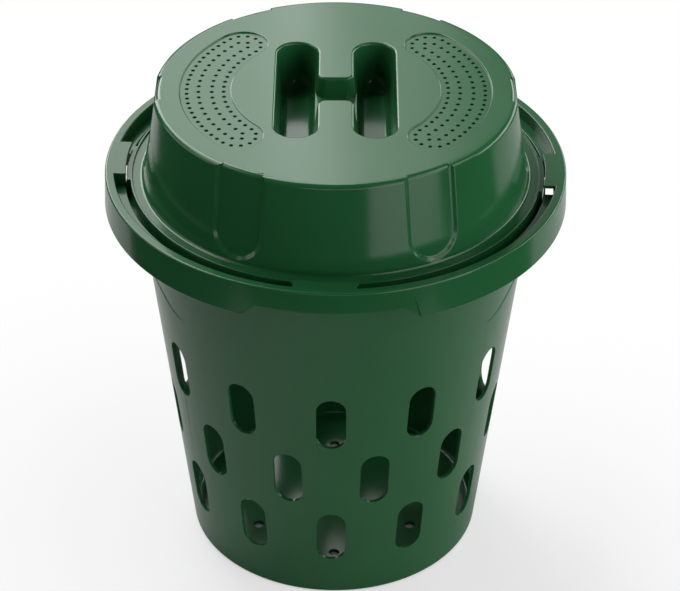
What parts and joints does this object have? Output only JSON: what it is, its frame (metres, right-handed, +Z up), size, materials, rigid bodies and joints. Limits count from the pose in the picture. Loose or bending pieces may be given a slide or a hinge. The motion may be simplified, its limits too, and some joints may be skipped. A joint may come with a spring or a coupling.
{
  "type": "underground compost bin",
  "caption": "Tapered plastic compost bin, sunk in the ground up to its rim, with slots in its wall for worms and a deep vented lid that lifts off by a grip in its top.",
  "frame": {"origin": "centre of the ground face of the base", "axes": "+Z up along the axis of the bin, -Y the front as pictured, +X to the right seen from the front"},
  "size_m": [0.322, 0.3212, 0.36],
  "materials": {
    "green_plastic": "satin moulded polypropylene"
  },
  "bodies": {
    "bin": {"bin": "green_plastic"},
    "lid": {"lid": "green_plastic"}
  },
  "joints": [
    {"name": "lid_lift", "type": "slide", "parent": "bin", "child": "lid", "axis": [0, 0, 1], "range_m": [0, 0.25]}
  ]
}
